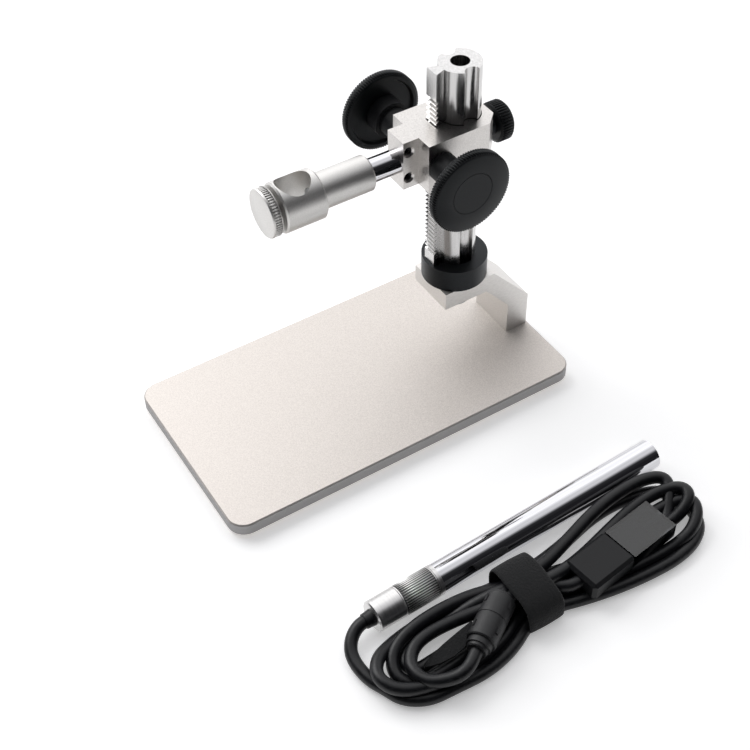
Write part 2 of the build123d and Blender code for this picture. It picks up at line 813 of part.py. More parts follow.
tie_start = tie_middle - tie_length / 2
ferrite_plane = Plane(
    (ferrite_end[0], ferrite_end[1], ferrite_height),
    x_dir=(0, 0, 1),
    z_dir=(math.cos(math.radians(ferrite_turn)), math.sin(math.radians(ferrite_turn)), 0),
)
plug_plane = Plane(
    (plug_start[0], plug_start[1], plug_height),
    x_dir=(math.sin(math.radians(plug_turn)), -math.cos(math.radians(plug_turn)), 0),
    z_dir=(math.cos(math.radians(plug_turn)), math.sin(math.radians(plug_turn)), 0),
)
plug_cap_width = shell_width + 2 * (plug_cap_wall + running_gap)
plug_cap_thickness = shell_thickness + 2 * (plug_cap_wall + running_gap)


def bar(plane, start, end, width, thickness, mode=Mode.ADD):
    """A rectangular bar along the plane's normal, added to the part being built."""
    with BuildSketch(plane.offset(start)) as section:
        Rectangle(width, thickness)
    extrude(section.sketch, amount=end - start, mode=mode)


with BuildPart() as cord_hank:
    with BuildSketch():
        with Locations((waist_middle, tie_middle)):
            Rectangle(waist_width, tie_length + 2 * waist_margin)
    extrude(amount=hank_height)
    for loop_middle, loop_radius, waist_end in (
        (near_loop, near_loop_radius, tie_start - waist_margin),
        (far_loop, far_loop_radius, tie_start + tie_length + waist_margin),
    ):
        with BuildSketch():
            with Locations(loop_middle):
                Circle(loop_radius)
            with Locations((waist_middle, waist_end)):
                Rectangle(waist_width, waist_margin)
            make_hull()
        extrude(amount=hank_height)
    chamfer(cord_hank.faces().sort_by(Axis.Z)[-1].edges(), hank_edge)
    with BuildSketch(Plane.XY):
        with Locations((waist_middle, tie_middle)):
            Rectangle(waist_width + 2 * tie_thickness, tie_length)
    extrude(amount=tie_thickness, mode=Mode.SUBTRACT)
    turned(ferrite_plane, 0, ferrite_length, ferrite_radius, mode=Mode.SUBTRACT)
    bar(plug_plane, 0, overmould_length, plug_width, plug_thickness, mode=Mode.SUBTRACT)
    bar(
        plug_plane, overmould_length, overmould_length + plug_cap_length, plug_cap_width,
        plug_cap_thickness, mode=Mode.SUBTRACT,
    )
finish(cord_hank.part, "cord_hank")

with BuildPart() as cord_tie:
    with BuildSketch(Plane.XZ.offset(-tie_start - tie_length)):
        with Locations((waist_middle, (hank_height + tie_thickness) / 2)):
            Rectangle(waist_width + 2 * tie_thickness, hank_height + tie_thickness)
            Rectangle(waist_width, hank_height - tie_thickness, mode=Mode.SUBTRACT)
    extrude(amount=tie_length)
finish(cord_tie.part, "cord_tie")

with BuildPart() as ferrite_choke:
    turned(ferrite_plane, 0, ferrite_length, ferrite_radius)
    chamfer(ferrite_choke.edges().filter_by(GeomType.CIRCLE), ferrite_chamfer)
    turned(ferrite_plane, 0, ferrite_length, cord_radius, mode=Mode.SUBTRACT)
finish(ferrite_choke.part, "ferrite_choke")

with BuildPart() as usb_overmould:
    bar(plug_plane, 0, overmould_length, plug_width, plug_thickness)
    chamfer(usb_overmould.edges().filter_by(GeomType.LINE), overmould_chamfer)
    bar(
        plug_plane, overmould_length - shell_root, overmould_length, shell_width, shell_thickness,
        mode=Mode.SUBTRACT,
    )
finish(usb_overmould.part, "usb_overmould")

with BuildPart() as usb_shell:
    shell_inside = (shell_width - 2 * shell_wall, shell_thickness - 2 * shell_wall)
    bar(
        plug_plane, overmould_length - shell_root, overmould_length + shell_length, shell_width,
        shell_thickness,
    )
    bar(
        plug_plane, overmould_length - shell_root, overmould_length + shell_length, *shell_inside,
        mode=Mode.SUBTRACT,
    )
finish(usb_shell.part, "usb_shell")

with BuildPart() as usb_tongue:
    tongue_plane = Plane(
        plug_plane.from_local_coords((0, (tongue_thickness - shell_inside[1]) / 2, 0)),
        x_dir=plug_plane.x_dir, z_dir=plug_plane.z_dir,
    )
    bar(
        tongue_plane, overmould_length - shell_root, overmould_length + shell_length - part_gap,
        shell_inside[0] - 2 * press_gap, tongue_thickness,
    )
finish(usb_tongue.part, "usb_tongue")

with BuildPart() as usb_clear_cap:
    bar(plug_plane, overmould_length, overmould_length + plug_cap_length, plug_cap_width, plug_cap_thickness)
    bar(
        plug_plane, overmould_length, overmould_length + plug_cap_length - plug_cap_wall,
        shell_width + 2 * running_gap, shell_thickness + 2 * running_gap, mode=Mode.SUBTRACT,
    )
finish(usb_clear_cap.part, "usb_clear_cap")
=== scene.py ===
import math

import bmesh
import bpy
from mathutils import Matrix, Vector


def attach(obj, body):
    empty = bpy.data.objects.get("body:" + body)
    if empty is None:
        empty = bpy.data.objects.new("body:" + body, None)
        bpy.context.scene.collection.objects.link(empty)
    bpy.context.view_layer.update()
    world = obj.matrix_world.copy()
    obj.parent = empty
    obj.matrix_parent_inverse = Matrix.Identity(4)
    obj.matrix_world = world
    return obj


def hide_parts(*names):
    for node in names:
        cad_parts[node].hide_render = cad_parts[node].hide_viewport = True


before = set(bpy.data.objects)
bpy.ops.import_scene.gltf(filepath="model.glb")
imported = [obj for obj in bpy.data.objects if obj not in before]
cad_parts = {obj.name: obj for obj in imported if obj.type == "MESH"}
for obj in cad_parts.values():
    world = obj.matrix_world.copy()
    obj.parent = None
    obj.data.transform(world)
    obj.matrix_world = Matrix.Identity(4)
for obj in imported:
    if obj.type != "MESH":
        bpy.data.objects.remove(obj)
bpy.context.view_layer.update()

# ---- Bench, light and camera ----
# The stand and the pen are on a smooth white board that sweeps far past them.
# One large soft lamp hangs over the left, and pale walls give the metal something to mirror.


def colour(text):
    """An sRGB hex colour as the linear colour that a socket takes."""
    parts = [int(text[place:place + 2], 16) / 255 for place in (1, 3, 5)]
    return tuple(p / 12.92 if p <= 0.04045 else ((p + 0.055) / 1.055) ** 2.4 for p in parts) + (1.0,)


def add(tree, kind, settings=None, inputs=None):
    """Adds a node. settings are its properties, and inputs gives its sockets a value or another's output."""
    made = tree.nodes.new(kind)
    for name, value in (settings or {}).items():
        setattr(made, name, value)
    for key, value in (inputs or {}).items():
        if isinstance(value, bpy.types.NodeSocket):
            tree.links.new(value, made.inputs[key])
        else:
            made.inputs[key].default_value = value
    return made


scene = bpy.context.scene
scene.view_settings.view_transform = "Standard"

board_reach = 30
board_corners = [
    (-board_reach, -board_reach, 0), (board_reach, -board_reach, 0), (board_reach, board_reach, 0),
    (-board_reach, board_reach, 0),
]
board_mesh = bpy.data.meshes.new("bench_board")
board_mesh.from_pydata(board_corners, [], [(0, 1, 2, 3)])
board = bpy.data.objects.new("bench_board", board_mesh)
scene.collection.objects.link(board)

# Matt white paint: no gloss, and a little lifted where the eye or a mirror looks at it, so that the open
# board shows white and the object's shadow stays on it.
white_board = bpy.data.materials.new("matt_white_board")
white_board.use_nodes = True
tree = white_board.node_tree
tree.nodes.clear()
matt = add(tree, "ShaderNodeBsdfDiffuse", inputs={"Color": colour("#f4f4f4")})
board_lift = 0.34
glow = add(tree, "ShaderNodeEmission", inputs={"Color": colour("#ffffff"), "Strength": board_lift})
lifted = add(tree, "ShaderNodeAddShader", inputs={0: matt.outputs[0], 1: glow.outputs[0]})
rays = add(tree, "ShaderNodeLightPath")
seen = add(
    tree, "ShaderNodeMath", {"operation": "ADD"},
    {0: rays.outputs["Is Camera Ray"], 1: rays.outputs["Is Glossy Ray"]},
)
looked_at = add(
    tree, "ShaderNodeMath", {"operation": "ADD", "use_clamp": True},
    {0: seen.outputs[0], 1: rays.outputs["Is Transmission Ray"]},
)
shown = add(
    tree, "ShaderNodeMixShader",
    inputs={0: looked_at.outputs[0], 1: matt.outputs[0], 2: lifted.outputs[0]},
)
add(tree, "ShaderNodeOutputMaterial", inputs={"Surface": shown.outputs[0]})
board_mesh.materials.append(white_board)

# The room: a pale wall and ceiling behind the bench, and a dark room behind the camera, so that
# round metal shows bright and dark bands and black surfaces stay black.
room = bpy.data.worlds.new("studio_room")
room.use_nodes = True
scene.world = room
tree = room.node_tree
tree.nodes.clear()
pale_wall_side = (-0.64, 0.38, 0.66)
room_brightness = 1.55
way = add(tree, "ShaderNodeTexCoord")
towards_wall = add(
    tree, "ShaderNodeVectorMath", {"operation": "DOT_PRODUCT"},
    {0: way.outputs["Generated"], 1: pale_wall_side},
)
share = add(tree, "ShaderNodeMapRange", inputs={0: towards_wall.outputs["Value"], 1: -1.0, 2: 1.0})
walls = add(tree, "ShaderNodeValToRGB", inputs={0: share.outputs[0]})
stops = walls.color_ramp.elements
stops[0].position, stops[0].color = 0.0, colour("#2a2a2c")
stops[1].position, stops[1].color = 1.0, colour("#f6f6f8")
for place, tone in (
    (0.5, "#18181a"), (0.66, "#29292b"), (0.71, "#6c6c6e"), (0.77, "#bcbcbe"), (0.82, "#c8c8ca"),
    (0.9, "#cacacc"), (0.94, "#e6e6e8"), (0.97, "#ffffff"),
):
    stop = stops.new(place)
    stop.color = colour(tone)
air = add(tree, "ShaderNodeBackground", inputs={"Color": walls.outputs[0], "Strength": room_brightness})
add(tree, "ShaderNodeOutputWorld", inputs={"Surface": air.outputs[0]})

key_place = Vector((-1.40, -0.46, 1.28))
softbox = bpy.data.lights.new("left_softbox", "AREA")
softbox.shape = "SQUARE"
softbox.size = 1.3
softbox.energy = 19.0
key = bpy.data.objects.new("left_softbox", softbox)
key.matrix_world = Matrix.Translation(key_place) @ key_place.to_track_quat("Z", "Y").to_matrix().to_4x4()
scene.collection.objects.link(key)

lens = bpy.data.cameras.new("camera")
lens.sensor_width = 36.0
lens.lens = 62.887
lens.clip_start = 0.01
lens.clip_end = 100.0
camera = bpy.data.objects.new("camera", lens)
scene.collection.objects.link(camera)
camera.matrix_world = Matrix((
    (0.529025, -0.603290, 0.596803, 0.309202),
    (0.848358, 0.393001, -0.354739, -0.175475),
    (-0.020534, 0.693968, 0.719713, 0.376412),
    (0, 0, 0, 1),
))
scene.camera = camera

# ---- Lead and its folded hank ----
# A round cord of soft black PVC, 4.6 mm across, leaves the pen's tail and is folded into four loose turns.
# It passes through the ferrite on its last turn and ends in the plug. The gland at the tail is soft PVC too.


def new_finish(name, base, metallic, roughness):
    """Starts a material, with its colour, metallic and roughness on the shader."""
    material = bpy.data.materials.new(name)
    material.use_nodes = True
    shader = material.node_tree.nodes["Principled BSDF"]
    shader.inputs["Base Color"].default_value = colour(base)
    shader.inputs["Metallic"].default_value = metallic
    shader.inputs["Roughness"].default_value = roughness
    return material, material.node_tree, shader


def grain(tree, shader, tones, size, stretch=(1, 1, 1), rough=None, height=0.0, detail=3.0, turn=0.0):
    """Breaks up a surface between two tones. size is the grain's width and height its depth, in millimetres,
    stretch how much longer it runs along each axis, and turn the grain's angle about the vertical. Returns
    the node that mixes the tones."""
    where = add(tree, "ShaderNodeTexCoord")
    aligned = add(
        tree, "ShaderNodeMapping", inputs={"Vector": where.outputs["Object"], "Rotation": (0, 0, turn)},
    )
    spread = add(
        tree, "ShaderNodeMapping",
        inputs={"Vector": aligned.outputs[0], "Scale": [1 / share for share in stretch]},
    )
    speckle = add(
        tree, "ShaderNodeTexNoise",
        inputs={"Vector": spread.outputs[0], "Scale": 1000 / size, "Detail": detail, "Roughness": 0.6},
    )
    noise_low, noise_high = 0.32, 0.68
    spot = add(tree, "ShaderNodeMapRange", inputs={0: speckle.outputs[0], 1: noise_low, 2: noise_high})
    tone = add(
        tree, "ShaderNodeMix", {"data_type": "RGBA"},
        {0: spot.outputs[0], 6: colour(tones[0]), 7: colour(tones[1])},
    )
    tree.links.new(tone.outputs[2], shader.inputs["Base Color"])
    if rough:
        shine = add(
            tree, "ShaderNodeMapRange",
            inputs={0: speckle.outputs[0], 1: noise_low, 2: noise_high, 3: rough[0], 4: rough[1]},
        )
        tree.links.new(shine.outputs[0], shader.inputs["Roughness"])
    if height:
        relief = add(tree, "ShaderNodeBump", inputs={"Height": speckle.outputs[0], "Distance": height / 1000})
        tree.links.new(relief.outputs[0], shader.inputs["Normal"])
    return tone


def dress(material, *names):
    """Gives a finish to nodes that are shown as they are."""
    for name in names:
        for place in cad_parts[name].material_slots:
            place.material = material


def piece(name, data, material, body):
    """Makes a finished mesh or curve a piece of the object: dressed, and riding on a body."""
    data.materials.append(material)
    made = bpy.data.objects.new(name, data)
    scene.collection.objects.link(made)
    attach(made, body)
    return made


# Extruded soft PVC: near black, a low satin shine, and a faint orange-peel skin of 1.5 mm.
cord_pvc, tree, shader = new_finish("extruded_soft_pvc", "#0c0d10", 0.0, 0.4)
shader.inputs["IOR"].default_value = 1.53
shader.inputs["Specular IOR Level"].default_value = 0.35
grain(tree, shader, ("#0a0b0e", "#121317"), 1.5, rough=(0.34, 0.46), height=0.03)

cord_diameter = 4.6
# The free stretch, from the gland's mouth round to the first turn, lying on the bench from half way.
cord_run = [
    (96.671, -56.097, 5.75), (96.748, -57.995, 5.75), (98.2, -61.5, 4.8), (100.9, -64.2, 3.7),
    (104.4, -65.7, 2.8), (109.4, -65.9, 2.4), (115.0, -65.0, 2.35), (119.5, -62.8, 2.35),
    (126.4, -60.0, 2.3), (131.0, -52.8, 2.3),
]
# Each turn goes out along one side, round the far end, back along the pen's side and round the near end.
# The sides give (x, z) where they cross the stations, and the ends give whole points.
out_stations = (-44, -31, -19, -9, 2, 13, 26, 40, 51)
back_stations = (50, 36, 21, 6, -8, -20, -32, -43)
turns = [
    {
        "out": [
            (131.6, 2.3), (132.6, 2.3), (130.0, 2.3), (124.6, 2.3), (124.2, 2.3), (127.4, 2.3), (130.0, 2.3),
            (131.4, 2.3), (131.4, 2.3),
        ],
        "far": [(129.0, 61.0, 2.3), (123.4, 67.6, 2.4), (113.4, 69.0, 2.6), (104.2, 64.6, 2.4)],
        "back": [
            (101.0, 2.3), (101.4, 2.3), (105.2, 2.3), (107.6, 2.4), (107.6, 2.6), (106.2, 2.6), (105.4, 2.3),
            (105.6, 2.3),
        ],
        "near": [(107.4, -52.2, 3.2), (110.6, -60.0, 5.4), (117.8, -64.6, 6.8), (126.4, -60.0, 6.4)],
    },
    {
        "out": [
            (129.6, 4.6), (128.2, 2.3), (125.4, 2.3), (120.2, 2.3), (119.8, 2.3), (122.8, 2.3), (125.4, 2.3),
            (126.8, 2.3), (127.2, 2.8),
        ],
        "far": [(126.8, 60.2, 5.0), (122.2, 67.0, 7.0), (116.0, 69.0, 7.2), (112.8, 61.4, 5.4)],
        "back": [
            (112.4, 3.6), (115.2, 3.0), (118.6, 4.2), (116.0, 6.4), (111.6, 6.6), (107.8, 6.6), (106.8, 6.6),
            (107.4, 6.4),
        ],
        "near": [(109.4, -51.4, 5.2), (113.8, -56.6, 3.6), (120.4, -57.4, 2.6), (124.8, -51.6, 2.3)],
    },
    {
        "out": [
            (124.6, 2.3), (123.6, 2.3), (120.8, 2.3), (115.8, 2.3), (115.4, 2.3), (118.2, 2.3), (120.8, 2.3),
            (122.2, 2.3), (121.4, 2.6),
        ],
        "far": [(116.4, 58.2, 4.0), (111.0, 63.4, 7.2), (105.0, 67.0, 8.4), (101.2, 61.4, 8.2)],
        "back": [
            (100.6, 8.0), (102.6, 8.0), (107.4, 8.0), (112.0, 8.2), (113.8, 10.0), (111.8, 7.8), (110.0, 3.6),
            (110.0, 2.3),
        ],
        "near": [(111.6, -49.6, 2.3), (115.8, -53.0, 2.3), (120.0, -50.4, 2.3)],
    },
    {
        "out": [
            (119.6, 2.3), (118.8, 2.3), (116.2, 2.3), (111.4, 2.3), (111.0, 2.3), (113.6, 2.3), (116.2, 2.3),
            (117.4, 2.3), (118.2, 2.8),
        ],
        "far": [(119.4, 59.2, 5.2), (117.8, 67.0, 9.4), (112.0, 68.8, 9.6), (107.8, 61.6, 7.4)],
        "back": [
            (107.6, 6.2), (110.6, 5.2), (115.0, 6.2), (118.6, 9.8), (117.4, 10.6), (114.8, 7.0), (112.6, 6.4),
            (112.4, 6.4),
        ],
        "near": [(115.0, -49.6, 6.4), (120.6, -53.4, 6.8), (128.0, -51.6, 7.2), (132.0, -44.0, 8.6)],
    },
]
for turn in turns:
    cord_run += [(across, y, up) for y, (across, up) in zip(out_stations, turn["out"])]
    cord_run += turn["far"]
    cord_run += [(across, y, up) for y, (across, up) in zip(back_stations, turn["back"])]
    cord_run += turn["near"]
# Through the ferrite, under the tie and into the plug.
cord_run += [
    (132.0, -38.6, 9.7), (128.1, -32.8, 9.7), (121.9, -23.1, 9.7), (115.7, -13.4, 9.7), (113.4, -9.6, 9.2),
    (114.0, -4.0, 6.8), (117.2, 2.0, 6.8), (121.6, 7.0, 7.0), (123.2, 10.6, 7.0), (122.9, 14.5, 7.0),
]
cord_curve = bpy.data.curves.new("pen_cord", "CURVE")
cord_curve.dimensions = "3D"
run = cord_curve.splines.new("NURBS")
run.points.add(len(cord_run) - 1)
for point, place in zip(run.points, cord_run):
    point.co = (place[0] / 1000, place[1] / 1000, place[2] / 1000, 1.0)
run.order_u = 3
run.use_endpoint_u = True
run.resolution_u = 6
cord_curve.bevel_depth = cord_diameter / 2000
cord_curve.bevel_resolution = 5
cord_curve.use_fill_caps = True
cord = piece("pen_cord", cord_curve, cord_pvc, "pen")
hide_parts("cord_tube", "cord_hank")
dress(cord_pvc, "cord_gland")

# ---- Tie ----
# A strap of black hook-and-loop tape goes once round the waist of the hank and grips itself.
# Its face is a mat of fine nylon loops, so it is dull, fuzzy and a little grey at the edges.

# Napped nylon loops, about 0.8 mm apart, drawn as soft bumps with a dusty sheen.
loop_tape, tree, shader = new_finish("napped_nylon_loop_tape", "#0e0f11", 0.0, 0.92)
shader.inputs["Sheen Weight"].default_value = 0.12
shader.inputs["Sheen Roughness"].default_value = 0.45
grain(tree, shader, ("#090a0b", "#151618"), 0.8, rough=(0.85, 0.98), height=0.35, detail=5.0)

tie_near, tie_far = -11.5, 3.2
waist_middle = (116.4, 6.5)
tape_bulge, tape_sway, tape_thickness = 0.3, 0.3, 1.3
tie_outline = [
    (106.2, 0.3), (116.0, 0.1), (126.0, 0.2), (128.6, 1.4), (129.2, 5.0), (128.6, 9.0), (126.6, 11.6),
    (122.6, 13.2), (116.6, 13.9), (110.4, 13.7), (106.2, 12.8), (104.6, 10.2), (104.3, 5.6), (104.6, 1.6),
]
band = bmesh.new()
tie_steps = 7
rings = []
for step in range(tie_steps):
    share = step / (tie_steps - 1)
    bulge = tape_bulge * math.sin(math.pi * share)
    ring = []
    for number, (across, up) in enumerate(tie_outline):
        away = Vector((across - waist_middle[0], up - waist_middle[1])).normalized()
        sway = tape_sway * math.sin(2.1 * number + 2.6 * share)
        ring.append(band.verts.new((
            (across + away[0] * bulge) / 1000,
            (tie_near + (tie_far - tie_near) * share + sway) / 1000,
            max(0.0, up + away[1] * bulge) / 1000,
        )))
    rings.append(ring)
for low, high in zip(rings, rings[1:]):
    for number in range(len(tie_outline)):
        after = (number + 1) % len(tie_outline)
        band.faces.new((low[number], low[after], high[after], high[number]))
bmesh.ops.recalc_face_normals(band, faces=band.faces)
tie_mesh = bpy.data.meshes.new("hank_tie")
band.to_mesh(tie_mesh)
band.free()
tie_mesh.shade_smooth()
tie = piece("hank_tie", tie_mesh, loop_tape, "pen")
wall = tie.modifiers.new("tape thickness", "SOLIDIFY")
wall.thickness = tape_thickness / 1000
wall.offset = -1.0
rounding = tie.modifiers.new("soft edges", "SUBSURF")
rounding.levels = 2
rounding.render_levels = 2
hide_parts("cord_tie")

# The strap's free end, cut to a point, lies loose inside the near loop.
flap = bmesh.new()
flap_rows = [
    ((119.6, -27.0, 7.6), 2.6), ((120.6, -33.0, 7.4), 2.7), ((121.6, -39.0, 7.0), 2.7),
    ((122.0, -44.0, 6.8), 2.0), ((122.2, -47.6, 6.9), 0.9), ((122.3, -49.2, 7.0), 0.3),
]
rings = []
for (across, y, up), half in flap_rows:
    rings.append([
        flap.verts.new(((across + reach) / 1000, y / 1000, (up + rise) / 1000))
        for reach, rise in ((-half, 0.0), (half, -0.8), (half, 0.1), (-half, 0.9))
    ])
for low, high in zip(rings, rings[1:]):
    for number in range(4):
        flap.faces.new((low[number], low[number - 1], high[number - 1], high[number]))
flap.faces.new(rings[0])
flap.faces.new(rings[-1])
bmesh.ops.recalc_face_normals(flap, faces=flap.faces)
flap_mesh = bpy.data.meshes.new("tie_free_end")
flap.to_mesh(flap_mesh)
flap.free()
flap_end = piece("tie_free_end", flap_mesh, loop_tape, "pen")

# ---- Ferrite ----
# A split ferrite core in a clip-on case of black nylon, closed round the cord near its far end.
# The case has rounded ends, a groove round its middle and four small raised latches.

case_nylon, tree, shader = new_finish("moulded_black_nylon", "#0e0f11", 0.0, 0.5)
shader.inputs["IOR"].default_value = 1.53
grain(tree, shader, ("#0c0d0f", "#141518"), 0.6, rough=(0.42, 0.58), height=0.04)


def turned(name, rows, hollow=True, sides=96):
    """A shape turned about Z. rows are (height, radius) in millimetres, taken round the profile from one end
    to the other. A hollow shape joins its last row to its first, and any other is closed with a flat face."""
    built = bmesh.new()
    rings = []
    for up, radius in rows:
        angles = (2 * math.pi * number / sides for number in range(sides))
        rings.append([
            built.verts.new((radius * math.cos(angle) / 1000, radius * math.sin(angle) / 1000, up / 1000))
            for angle in angles
        ])
    pairs = list(zip(rings, rings[1:]))
    if hollow:
        pairs.append((rings[-1], rings[0]))
    for low, high in pairs:
        for number in range(sides):
            built.faces.new((low[number - 1], low[number], high[number], high[number - 1]))
    if not hollow:
        built.faces.new(rings[0])
        built.faces.new(rings[-1])
    bmesh.ops.recalc_face_normals(built, faces=built.faces)
    mesh = bpy.data.meshes.new(name)
    built.to_mesh(mesh)
    built.free()
    mesh.shade_smooth()
    mesh.set_sharp_from_angle(angle=math.radians(28))
    return mesh


def placed(mesh, origin, axis):
    """Stands a mesh that was turned about Z on its real axis, from an origin in millimetres."""
    turn = Vector(axis).to_track_quat("Z", "Y").to_matrix().to_4x4()
    mesh.transform(Matrix.Translation(Vector(origin) / 1000) @ turn)
    return mesh


case_start = Vector((115.7, -13.4, 9.7))
case_heading = math.radians(-57.5)
case_axis = Vector((math.cos(case_heading), math.sin(case_heading), 0))
case_mesh = turned("ferrite_case", [
    (0.0, 2.3), (0.0, 3.9), (0.4, 4.3), (1.2, 4.3), (1.3, 4.9), (1.7, 5.2), (9.8, 5.3), (9.9, 5.1),
    (10.6, 5.1), (10.7, 5.3), (19.0, 5.2), (19.4, 4.9), (19.5, 4.3), (21.6, 4.3), (21.7, 3.7), (22.6, 3.6),
    (23.0, 3.3), (23.0, 2.3),
], sides=64)
case = piece("ferrite_case", placed(case_mesh, case_start, case_axis), case_nylon, "pen")
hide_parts("ferrite_choke")

latches = bmesh.new()
latch_size = (2.6, 1.5, 0.9)
latch_radius = 5.1
case_across = case_axis.cross(Vector((0, 0, 1)))
for along, lean in ((4.6, 38), (15.2, 38), (4.6, 142), (15.2, 142)):
    out = case_across * math.cos(math.radians(lean)) + Vector((0, 0, 1)) * math.sin(math.radians(lean))
    middle = case_start + case_axis * along + out * latch_radius
    latch_turn = Matrix((case_axis, out.cross(case_axis), out)).transposed().to_4x4()
    made = bmesh.ops.create_cube(latches, size=0.001)
    bmesh.ops.transform(
        latches, verts=made["verts"],
        matrix=Matrix.Translation(middle / 1000) @ latch_turn @ Matrix.Diagonal((*latch_size, 1)),
    )
bmesh.ops.bevel(latches, geom=latches.edges[:], offset=0.0002, segments=2, affect="EDGES")
latch_mesh = bpy.data.meshes.new("ferrite_latches")
latches.to_mesh(latch_mesh)
latches.free()
latch = piece("ferrite_latches", latch_mesh, case_nylon, "pen")

# ---- Plug ----
# A USB plug: a stamped steel shell with a white nylon tongue in a moulded black grip.
# A smoke-grey clear cap of moulded styrene covers the shell while the pen is packed away.

grip_pvc, tree, shader = new_finish("moulded_pvc_grip", "#0b0c0f", 0.0, 0.45)
shader.inputs["Specular IOR Level"].default_value = 0.3
grain(tree, shader, ("#090a0d", "#111215"), 0.5, rough=(0.4, 0.55), height=0.03)
dress(grip_pvc, "usb_overmould")

plated_steel, tree, shader = new_finish("black_nickel_plated_steel", "#4b4c4f", 1.0, 0.2)
grain(tree, shader, ("#434447", "#56575a"), 0.4, stretch=(1, 30, 1), rough=(0.14, 0.26))
dress(plated_steel, "usb_shell")

tongue_nylon, tree, shader = new_finish("moulded_white_nylon", "#e4e2dc", 0.0, 0.4)
grain(tree, shader, ("#dcdad4", "#ebe9e4"), 0.8, rough=(0.35, 0.5))
dress(tongue_nylon, "usb_tongue")

smoke_styrene, tree, shader = new_finish("smoke_grey_moulded_styrene", "#4c4f54", 0.0, 0.05)
shader.inputs["IOR"].default_value = 1.59
shader.inputs["Transmission Weight"].default_value = 1.0
dress(smoke_styrene, "usb_clear_cap")

# ---- Pen ----
# The barrel is a drawn brass tube with mirror chrome plate. The focus ring and the tail are turned
# aluminium: the ring is cut with fine straight flutes, and the tail is left satin from the lathe.

pen_start = Vector((96.55, -53.1, 5.75))
pen_axis = Vector((-0.040355, 0.999185, 0))
pen_turn = -0.0404

# Bright chrome plate: mirror smooth, faint blue-grey, with hair-fine polishing lines along the tube.
chrome, tree, shader = new_finish("bright_chrome_plate", "#d0d0d3", 1.0, 0.05)
grain(tree, shader, ("#cfcfd2", "#dadadd"), 0.6, stretch=(1, 60, 1), rough=(0.035, 0.08), turn=pen_turn)
dress(chrome, "pen_tube")

# Turned aluminium: tool marks every 0.5 mm run round the axis, so light spreads along it.
turned_metal, tree, shader = new_finish("turned_satin_aluminium", "#d8d7d6", 1.0, 0.32)
grain(tree, shader, ("#d2d1d0", "#e1e0df"), 0.5, stretch=(30, 1, 30), rough=(0.28, 0.38), turn=pen_turn)
dress(turned_metal, "tail_body", "tail_cap", "tube_collar")

knurl = bpy.data.node_groups.new("straight_knurl", "GeometryNodeTree")
for kind, name in (
    ("Geometry", "Blank"), ("Int", "Ridges"), ("Float", "Ring Radius"), ("Float", "Ridge Radius"),
    ("Float", "Ridge Length"), ("Float", "Ring Height"), ("Material", "Finish"),
):
    knurl.interface.new_socket(name, in_out="INPUT", socket_type=f"NodeSocket{kind}")
knurl.interface.new_socket("Knurled", in_out="OUTPUT", socket_type="NodeSocketGeometry")
given = add(knurl, "NodeGroupInput")
ring_points = add(knurl, "GeometryNodeMeshCircle", inputs={
    "Vertices": given.outputs["Ridges"], "Radius": given.outputs["Ring Radius"],
})
ridge_sides = 10
ridge = add(knurl, "GeometryNodeMeshCylinder", inputs={
    "Vertices": ridge_sides, "Radius": given.outputs["Ridge Radius"], "Depth": given.outputs["Ridge Length"],
})
rounded = add(knurl, "GeometryNodeSetShadeSmooth", inputs={0: ridge.outputs["Mesh"]})
ridges = add(knurl, "GeometryNodeInstanceOnPoints", inputs={
    "Points": ring_points.outputs[0], "Instance": rounded.outputs[0],
})
lift = add(knurl, "ShaderNodeCombineXYZ", inputs={"Z": given.outputs["Ring Height"]})
raised = add(knurl, "GeometryNodeTransform", inputs={
    "Geometry": ridges.outputs[0], "Translation": lift.outputs[0],
})
whole = add(knurl, "GeometryNodeJoinGeometry", inputs={0: raised.outputs[0]})
knurl.links.new(given.outputs["Blank"], whole.inputs[0])
solid = add(knurl, "GeometryNodeRealizeInstances", inputs={0: whole.outputs[0]})
coated = add(knurl, "GeometryNodeSetMaterial", inputs={
    "Geometry": solid.outputs[0], "Material": given.outputs["Finish"],
})
add(knurl, "NodeGroupOutput", inputs={0: coated.outputs[0]})
knurl_sockets = {item.name: item.identifier for item in knurl.interface.items_tree if item.in_out == "INPUT"}


def knurled(blank, finish, count, ring_radius, ridge_radius, ridge_length, height):
    """Adds a ring of straight ridges to a shape turned about Z, sizes in millimetres, as one plain mesh."""
    holder = bpy.data.objects.new("knurl_blank", blank)
    scene.collection.objects.link(holder)
    cutter = holder.modifiers.new("knurl", "NODES")
    cutter.node_group = knurl
    for name, value in (
        ("Ridges", count), ("Ring Radius", ring_radius / 1000), ("Ridge Radius", ridge_radius / 1000),
        ("Ridge Length", ridge_length / 1000), ("Ring Height", height / 1000), ("Finish", finish),
    ):
        cutter[knurl_sockets[name]] = value
    graph = bpy.context.evaluated_depsgraph_get()
    mesh = bpy.data.meshes.new_from_object(holder.evaluated_get(graph), depsgraph=graph)
    bpy.data.objects.remove(holder)
    mesh.materials.clear()
    return mesh


ring_blank = turned("focus_ring", [
    (10.5, 4.95), (10.5, 5.5), (10.7, 5.72), (11.1, 5.72), (11.2, 5.4), (11.4, 5.38), (24.4, 5.38),
    (24.5, 5.72), (24.8, 5.72), (25.0, 5.5), (25.0, 4.95),
])
ring_mesh = knurled(
    ring_blank, turned_metal, count=40, ring_radius=5.38, ridge_radius=0.32, ridge_length=12.8, height=17.9,
)
